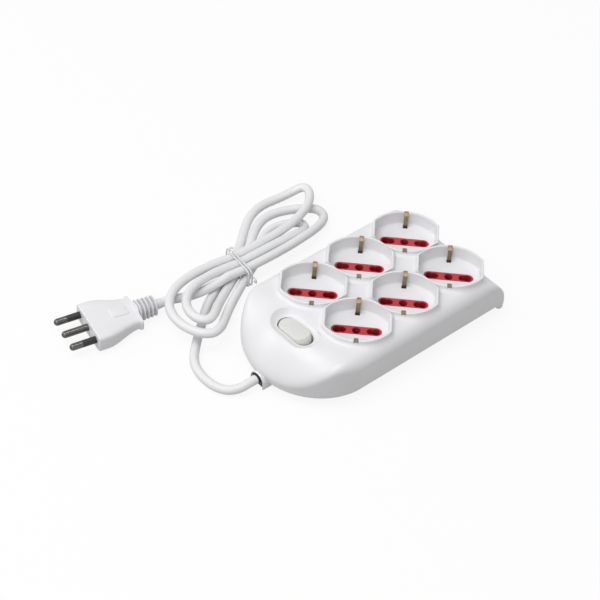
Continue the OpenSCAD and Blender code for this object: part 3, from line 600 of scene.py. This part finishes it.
# Shell of the top cover with its six cups. Its top skin is laid out flat in two directions, along
# the round drop and over the rounded edge, cut there, and folded back into place. At the cord end
# the top falls to a low, crisp edge.
FOOT_ROUND, FOOT_STEP, FOOT_RAMP, INNER_RISE = 0.6, 0.18, 4.5, 12.0
CORNER_ROUND, CORNER_BLEND = 2.0, 6
FILLET, RIM_ROUND, RIM_INNER, CUP_RING, CUP_FILLET = 2.9, 0.6, 0.45, 3.0, 1.2
NOTCH_DEPTH, NOTCH_HALF, NOTCH_CLEAR, NOTCH_STEP = 1.5, 1.75, 0.4, 0.05
DIP, DIP_START, DIP_POWER, DIP_SIDE = 19.2, 0.52, 1.6, 0.3
TIP_EDGE, CRISP_FROM = 4.0, 0.5
BOWL_RINGS, BOWL_POWER, SLOT_DROPS = 10, 0.6, (0.3, 5.0)
HOLE_GAP, HOLE_DEPTH, CLIP_BEHIND, CLIP_BEFORE = 0.2, 2.0, 2.0, 1.4
DROP_STEPS, SIDE_STEPS, NOSE_STEPS, END_STEPS, WALL_STEPS = 20, 40, 72, 60, 8
ARC_STEPS, FLAT_STEPS = 22, 12
GRID_U, GRID_V, GRID_SHIFT, GRID_MARGIN = 2.4, 2.35, 0.2, 1.02
V_END, U_END = EDGE * math.pi / 2, X_DROP + DROP * math.pi / 2
FAR_EDGE = X_END - CORNER_ROUND - 0.04


def stretch(k):
    """Distance over the rounded edge at a distance k outside the flat top, measured level."""
    return k if k <= 0 else EDGE * math.asin(min(1.0, k / EDGE))


def shrink(k):
    """The level distance again, from the distance over the rounded edge."""
    return k if k <= 0 else EDGE * math.sin(min(math.pi / 2, k / EDGE))


def nose_ring(x, y):
    """Angle on the half ellipse at the cord end and distance from the flat top's ellipse."""
    low, high = -FLAT_NOSE, EDGE * 2
    for _ in range(40):
        k = (low + high) / 2
        if (x / (FLAT_NOSE + k)) ** 2 + (y / (FLAT_HALF + k)) ** 2 > 1:
            low = k
        else:
            high = k
    return math.atan2(y / (FLAT_HALF + k), x / (FLAT_NOSE + k)), k


def fold(u, v, remap):
    """Moves a point between the body's plan and the flat layout, along and across."""
    if u < X_NOSE:
        angle, k = nose_ring(u - X_NOSE, v)
        k = remap(k)
        return X_NOSE + (FLAT_NOSE + k) * math.cos(angle), (FLAT_HALF + k) * math.sin(angle), k
    k = remap(abs(v) - FLAT_HALF)
    return u, math.copysign(FLAT_HALF + k, v), k


def unfolded(x, y):
    """Place in the flat layout of a point on the plan."""
    u, v, _ = fold(x, y, stretch)
    if x > X_DROP:
        u = X_DROP + DROP * math.asin(min(1.0, (x - X_DROP) / DROP))
    return Vector((u, v))


def over_edge(k, radius):
    """Height on the rounded edge, whose radius grows or shrinks from its outer line."""
    over = max(0.0, k - EDGE + radius)
    return TOP - radius + math.sqrt(max(0.0, radius ** 2 - over ** 2))


def wall_half(z):
    """Half width of the body at a height below its widest line."""
    return HALF - DRAFT * max(0.0, TOP - EDGE - z) / (TOP - EDGE - SKIRT)


def dip(x, y):
    """How crisp the edge is at a place of the cord end, and how far the top has fallen there."""
    along, across = (x - X_NOSE) / NOSE, y / HALF
    if along >= 0:
        return 0.0, 0.0
    out = math.hypot(along, across)
    to_tip = -along / out
    turned = ease((to_tip - DIP_SIDE) / (1 - DIP_SIDE))
    near_rim = max(0.0, min(out, 1.0) - DIP_START) / (1 - DIP_START)
    return ease(to_tip / CRISP_FROM), DIP * turned * near_rim ** DIP_POWER


def folded(u, v):
    """Point of the top skin from its place in the flat layout."""
    x, y, k = fold(min(u, X_DROP), v, shrink)
    crisp, fall = dip(x, y)
    z = over_edge(k, EDGE + (TIP_EDGE - EDGE) * crisp) - fall
    if u > X_DROP:
        turned = (u - X_DROP) / DROP
        beside = max(0.0, abs(y) - HALF + CORNER_ROUND)
        radius = DROP - CORNER_ROUND + math.sqrt(max(0.0, CORNER_ROUND ** 2 - beside ** 2))
        x = X_DROP + radius * math.sin(turned)
        fall = DROP - radius * math.cos(turned)
        z = TOP - (fall ** CORNER_BLEND + (TOP - z) ** CORNER_BLEND) ** (1 / CORNER_BLEND)
        y *= wall_half(z) / HALF
    return Vector((x, y, z))


def on_top(x, y):
    """Point of the top skin above a place on the plan."""
    return folded(*unfolded(x, y))


def in_socket(spot, s, c):
    """Place on the plan from distances along and across a socket's slot."""
    return spot[0] + (s + c) * math.sqrt(0.5), spot[1] + (c - s) * math.sqrt(0.5)


def arc_shares():
    """Places along half a collar, flat to flat, with both sides of the clip's notch among them."""
    reach = ARC * math.asin(FLAT / ARC)
    even = [i / ARC_STEPS - 1 for i in range(2 * ARC_STEPS + 1)]
    shares = [t for t in even if abs(abs(t) * reach - NOTCH_HALF) > NOTCH_CLEAR]
    gaps = (-NOTCH_STEP, NOTCH_STEP)
    shares += [side * (NOTCH_HALF + gap) / reach for side in (-1, 1) for gap in gaps]
    return [(t, abs(t) * reach < NOTCH_HALF) for t in sorted(shares)]


def collar_outline(spot, grow):
    """Points round a collar, on its own side of its neighbours, each with whether it is in a notch."""
    arc, flat, middle = ARC + grow, FLAT + grow, REACH - ARC
    tip = math.asin(flat / arc)
    half = []
    for t, notch in arc_shares():
        half.append((arc * math.sin(tip * t), middle + arc * math.cos(tip * t), notch))
    corner = half[-1][1]
    half += [(flat, corner * (1 - 2 * i / FLAT_STEPS), False) for i in range(1, FLAT_STEPS)]
    column = round((spot[0] - SOCKETS_X) / PITCH_X)
    points = []
    for s, c, notch in half + [(-s, -c, notch) for s, c, notch in half]:
        x, y = in_socket(spot, s, c)
        if column > -1:
            x = max(x, spot[0] - PITCH_X / 2)
        if column < 1:
            x = min(x, spot[0] + PITCH_X / 2)
        y = max(y, 0.0) if spot[1] > 0 else min(y, 0.0)
        points.append((x, y, notch))
    return points


def collar_rings(spot):
    """Rings from the foot of a collar over its rim and down to the floor of its recess."""
    rings = []
    for s, c in quarter(15):
        out, up = FILLET * (1 - s), FILLET * (1 - c)
        rings.append([Vector((x, y, on_top(x, y).z + up)) for x, y, _ in collar_outline(spot, out)])
    profile = [(RIM_ROUND * (c - 1), RIM - RIM_ROUND * (1 - s)) for s, c in quarter(30)]
    profile += [(RIM_INNER * (1 - s) - COLLAR, RIM - RIM_INNER * (1 - c)) for s, c in quarter(30)]
    profile += [(-COLLAR, RIM - CUP_RING)]
    profile += [(CUP_FILLET * (c - 1) - COLLAR, FLOOR + CUP_FILLET * (1 - s)) for s, c in quarter(18)]
    for out, z in profile:
        rings.append([
            Vector((x, y, min(z, RIM - NOTCH_DEPTH) if notch else z))
            for x, y, notch in collar_outline(spot, out)
        ])
    return rings


def stadium(length, width):
    """Points round an oval with straight sides."""
    half, r, step = (length - width) / 2, width / 2, 9
    ends = [(half, a) for a in range(-90, 91, step)] + [(-half, a) for a in range(90, 271, step)]
    return [(at + r * math.cos(math.radians(a)), r * math.sin(math.radians(a))) for at, a in ends]


def inside(polygon, x, y):
    hit = False
    for (ax, ay), (bx, by) in zip(polygon, polygon[1:] + polygon[:1]):
        if (ay > y) != (by > y) and x < (bx - ax) * (y - ay) / (by - ay) + ax:
            hit = not hit
    return hit


def filled(outer, holes, extra=()):
    """Triangles of an outline with holes, as points and faces."""
    points, edges = [], []
    for loop in [outer, *holes]:
        start = len(points)
        points += [Vector(p) for p in loop]
        edges += [(start + i, start + (i + 1) % len(loop)) for i in range(len(loop))]
    points += [Vector(p) for p in extra]
    verts, _, faces, *_ = delaunay_2d_cdt(points, edges, [], 0, 1e-4)
    kept = []
    for face in faces:
        x = sum(verts[i][0] for i in face) / len(face)
        y = sum(verts[i][1] for i in face) / len(face)
        if inside(outer, x, y) and not any(inside(hole, x, y) for hole in holes):
            kept.append(tuple(face))
    return verts, kept


def bowl_outline(grow):
    """Places on the plan round the switch's slot, grown outwards."""
    outline = stadium(SLOT_LENGTH + 2 * grow, SLOT_WIDTH + 2 * grow)
    return [(SWITCH_X - y, x) for x, y in outline]


def bowl_rings():
    """Rings of the soft bowl round the rocker, from the top down to its slot and into it."""
    rings = []
    for i in range(BOWL_RINGS + 1):
        t = i / BOWL_RINGS
        ring = [on_top(x, y) for x, y in bowl_outline(POCKET_SLOPE * (1 - t))]
        for p in ring:
            p.z -= (p.z - POCKET_Z) * ease(t ** BOWL_POWER)
        rings.append(ring)
    for deep in SLOT_DROPS:
        rings.append([Vector((p.x, p.y, POCKET_Z - deep)) for p in rings[BOWL_RINGS]])
    return rings


def top_boundary():
    """Edge of the top skin in the flat layout: a side, the cord end, the other side, the far end."""
    across = FLAT_HALF + V_END
    side = [X_DROP + (U_END - X_DROP) * (1 - i / DROP_STEPS) for i in range(DROP_STEPS)]
    side += [X_DROP + (X_NOSE - X_DROP) * i / SIDE_STEPS for i in range(SIDE_STEPS)]
    nose = [math.radians(90 + 180 / NOSE_STEPS * i) for i in range(NOSE_STEPS + 1)]
    loop = [(u, across) for u in side]
    loop += [(X_NOSE + (FLAT_NOSE + V_END) * math.cos(a), across * math.sin(a)) for a in nose]
    loop += [(u, -across) for u in reversed(side)]
    loop += [(U_END, across * (2 * i / END_STEPS - 1)) for i in range(1, END_STEPS)]
    return loop


def foot_z(x):
    """Bottom edge of the walls: lifted, and down to the floor at the far end."""
    return SKIRT * (1 - ease((x - X_END + LIP + FOOT_RAMP) / FOOT_RAMP))


def wall_rings(boundary):
    """Rings from the edge of the top skin down the walls, round their foot and up inside."""
    top = [folded(u, v) for u, v in boundary]
    count = len(top)
    normals = []
    for i in range(count):
        a, b = top[i - 1], top[(i + 1) % count]
        way = Vector((b.x - a.x, b.y - a.y)).normalized()
        normals.append(Vector((-way.y, way.x)))
    rings = [top]
    for i in range(1, WALL_STEPS + 1):
        share = i / WALL_STEPS
        ring = []
        for p, n in zip(top, normals):
            low = foot_z(p.x) + FOOT_ROUND
            z = p.z + (min(low, p.z) - p.z) * share
            lean = 0.0 if p.x > FAR_EDGE else wall_half(p.z) - wall_half(z)
            if p.x < X_NOSE:
                lean = (HALF - wall_half(low)) * share
            ring.append(Vector((p.x + n.x * lean, p.y + n.y * lean, z)))
        rings.append(ring)
    foot = rings[-1]
    for out, up in ((FOOT_STEP, FOOT_STEP), (FOOT_ROUND, 0.0), (None, 0.0), (None, INNER_RISE)):
        ring = []
        for p, n in zip(foot, normals):
            inset = (LIP if p.x > FAR_EDGE else WALL) if out is None else out
            base = min(p.z, foot_z(p.x))
            ring.append(Vector((p.x + n.x * inset, p.y + n.y * inset, base + up)))
        rings.append(ring)
    return rings


def add_recess_floor(skin, spot, ring):
    """Floor of a recess inside the last ring of its collar, open for the insert and the clip."""
    slot = stadium(INSERT_LENGTH + 2 * HOLE_GAP, INSERT_WIDTH + 2 * HOLE_GAP)
    near, far, side = CLIP_LINE - CLIP_BEHIND, CLIP_LINE + CLIP_BEFORE, CLIP_WIDTH / 2 + HOLE_GAP
    cut = [(-side, near), (side, near), (side, far), (-side, far)]
    holes = [slot, [(s, -c) for s, c in cut], cut]
    holes = [[in_socket(spot, s, c) for s, c in hole] for hole in holes]
    points, faces = filled([(p.x, p.y) for p in ring], holes)
    skin.add([Vector((p[0], p[1], FLOOR)) for p in points], faces)
    for hole in holes:
        skin.rings([[Vector((x, y, z)) for x, y in hole] for z in (FLOOR, FLOOR - HOLE_DEPTH)])


def top_shell():
    skin = Skin()
    boundary = top_boundary()
    collars = [collar_rings(spot) for spot in SPOTS]
    feet = [[(p.x, p.y) for p in rings[0]] for rings in collars]
    holes = [[tuple(unfolded(x, y)) for x, y in foot] for foot in [*feet, bowl_outline(POCKET_SLOPE)]]
    grid = []
    for i in range(-40, 46):
        for j in range(-24, 25):
            u, v = i * GRID_U + GRID_SHIFT, j * GRID_V
            within = inside(boundary, u * GRID_MARGIN, v * GRID_MARGIN)
            if within and not any(inside(hole, u, v) for hole in holes):
                grid.append((u, v))
    points, faces = filled(boundary, holes, grid)
    skin.add([folded(p[0], p[1]) for p in points], faces)
    skin.rings([ring + ring[:1] for ring in wall_rings(boundary)], False)
    skin.rings(bowl_rings())
    for spot, rings in zip(SPOTS, collars):
        skin.rings(rings)
        add_recess_floor(skin, spot, rings[-1])
    return skin.mesh("top_shell")


finish_mesh("top_shell", top_shell(), WHITE, BODY, ["top_cover", *each("socket_cup", 6)], 40.0)


# Rocker: a crowned cap, tipped about its pivot, whose raised end shows its round wall
ROCKER_FOOT, ROCKER_RIDGE, ROCKER_SOFT, RAISED_END = -3.5, 4.5, 0.7, 0.955
RIDGE_Z, LONG_SLOPE, SHORT_SLOPE, CROWN = 6.5, 0.04, 0.08, 0.012
PIN_REACH, PIN_R = 8.1, 1.5


def rocker_top(x, y):
    """Height of the rocker's top above its pivot: a long face, and a short one beyond the ridge."""
    slope = LONG_SLOPE if y > -ROCKER_RIDGE else SHORT_SLOPE
    return RIDGE_Z + slope * (y + ROCKER_RIDGE) - CROWN * x * x


def rocker_skin():
    skin = Skin()
    half = ROCKER_LENGTH / 2
    tipped = Matrix.Rotation(math.radians(-TILT), 3, "X")

    def place(x, y, z):
        lean = math.sqrt(half ** 2 - z ** 2) / half * (RAISED_END if y < 0 else 1)
        return Vector((SWITCH_X, 0, PIVOT_Z)) + tipped @ Vector((x, y * lean, z))

    rings = []
    for share in (0.0, 0.35, 0.7, 1.0):
        rings.append([
            place(-x, y, ROCKER_FOOT + (rocker_top(-x, y) - ROCKER_SOFT - ROCKER_FOOT) * share)
            for y, x in stadium(ROCKER_LENGTH, ROCKER_WIDTH)
        ])
    for s, c in quarter(15)[1:]:
        inset, drop = ROCKER_SOFT * (1 - c), ROCKER_SOFT * (1 - s)
        outline = stadium(ROCKER_LENGTH - 2 * inset, ROCKER_WIDTH - 2 * inset)
        rings.append([place(-x, y, rocker_top(-x, y) - drop) for y, x in outline])
    skin.rings(rings)
    skin.cap(rings[0])
    grid = [(i * 0.8, j * 0.9) for i in range(-16, 17) for j in range(-6, 7)]
    outline = stadium(ROCKER_LENGTH - 2 * ROCKER_SOFT, ROCKER_WIDTH - 2 * ROCKER_SOFT)
    shrunk = [(y * 0.97, x * 0.95) for y, x in outline]
    points, faces = filled(outline, [], [p for p in grid if inside(shrunk, *p)])
    skin.add([place(-p[1], p[0], rocker_top(-p[1], p[0])) for p in points], faces)
    pin = [(0.0, -PIN_REACH), (PIN_R, -PIN_REACH), (PIN_R, PIN_REACH), (0.0, PIN_REACH)]
    skin.rings([[place(at, r * c, r * s) for c, s in circle(24)] for r, at in pin])
    return skin.mesh("rocker_cap")


finish_mesh("rocker_cap", rocker_skin(), IVORY, ROCKER, ["rocker"], 50.0)


# Stage: floor, soft light
AMBIENT, FLOOR_GLOW, FLOOR_BOUNCE = 0.42, 0.88, 0.45
FLOOR_HALF, FLOOR_GAP = 3, 0.0004
corners = [(x * FLOOR_HALF, y * FLOOR_HALF, 0) for x, y in ((-1, -1), (1, -1), (1, 1), (-1, 1))]
floor_mesh = bpy.data.meshes.new("floor")
floor_mesh.from_pydata(corners, [], [(0, 1, 2, 3)])
floor = bpy.data.objects.new("floor", floor_mesh)
floor.location = (0, 0, -FLOOR_GAP)
bpy.context.collection.objects.link(floor)


def seen(tree):
    """1 for rays that show the background itself: from the camera, in a reflection, through glass."""
    path = tree.nodes.new("ShaderNodeLightPath")
    total = path.outputs["Is Camera Ray"]
    for key in ("Is Glossy Ray", "Is Transmission Ray"):
        either = tree.nodes.new("ShaderNodeMath")
        either.operation = "MAXIMUM"
        tree.links.new(total, either.inputs[0])
        tree.links.new(path.outputs[key], either.inputs[1])
        total = either.outputs[0]
    return total


PAPER = material("paper", (0.9, 0.9, 0.9), 0.9)
vary(PAPER, "Base Color", noise(PAPER, 3), (0.895, 0.895, 0.895), (0.905, 0.905, 0.905))
tree = PAPER.node_tree
glow, bounce = tree.nodes.new("ShaderNodeEmission"), tree.nodes.new("ShaderNodeBsdfDiffuse")
glow.inputs["Color"].default_value = (1, 1, 1, 1)
bounce.inputs["Color"].default_value = (FLOOR_BOUNCE, FLOOR_BOUNCE, FLOOR_BOUNCE, 1)
shown, either = tree.nodes.new("ShaderNodeMixShader"), tree.nodes.new("ShaderNodeMixShader")
shown.inputs["Fac"].default_value = FLOOR_GLOW
tree.links.new(tree.nodes["Principled BSDF"].outputs[0], shown.inputs[1])
tree.links.new(glow.outputs[0], shown.inputs[2])
tree.links.new(seen(tree), either.inputs["Fac"])
tree.links.new(bounce.outputs[0], either.inputs[1])
tree.links.new(shown.outputs[0], either.inputs[2])
tree.links.new(either.outputs[0], tree.nodes["Material Output"].inputs["Surface"])
floor_mesh.materials.append(PAPER)

world = bpy.data.worlds.new("studio")
world.use_nodes = True
tree = world.node_tree
background = tree.nodes["Background"]
background.inputs["Color"].default_value = (1, 1, 1, 1)
level = tree.nodes.new("ShaderNodeMath")
level.operation = "MULTIPLY_ADD"
level.inputs[1].default_value = 1 - AMBIENT
level.inputs[2].default_value = AMBIENT
tree.links.new(seen(tree), level.inputs[0])
tree.links.new(level.outputs[0], background.inputs["Strength"])
bpy.context.scene.world = world


def lamp(name, at, target, size, power):
    data = bpy.data.lights.new(name, "AREA")
    data.shape = "DISK"
    data.size = size
    data.energy = power
    made = bpy.data.objects.new(name, data)
    made.location = at
    made.rotation_mode = "QUATERNION"
    made.rotation_quaternion = (Vector(target) - Vector(at)).to_track_quat("-Z", "Y")
    bpy.context.collection.objects.link(made)


MIDDLE, PLUG_PINS = (0, 0.03, 0), (-0.16, 0.1, 0)
lamp("key", (-0.7, 0.2, 1.9), MIDDLE, 1.2, 16)
lamp("side", (-0.95, 1.1, 1.0), MIDDLE, 0.8, 5)
lamp("fill", (-1.45, -0.8, 1.1), MIDDLE, 0.8, 5.5)
lamp("glint", (0.37, -0.04, 1.93), PLUG_PINS, 0.25, 2.0)
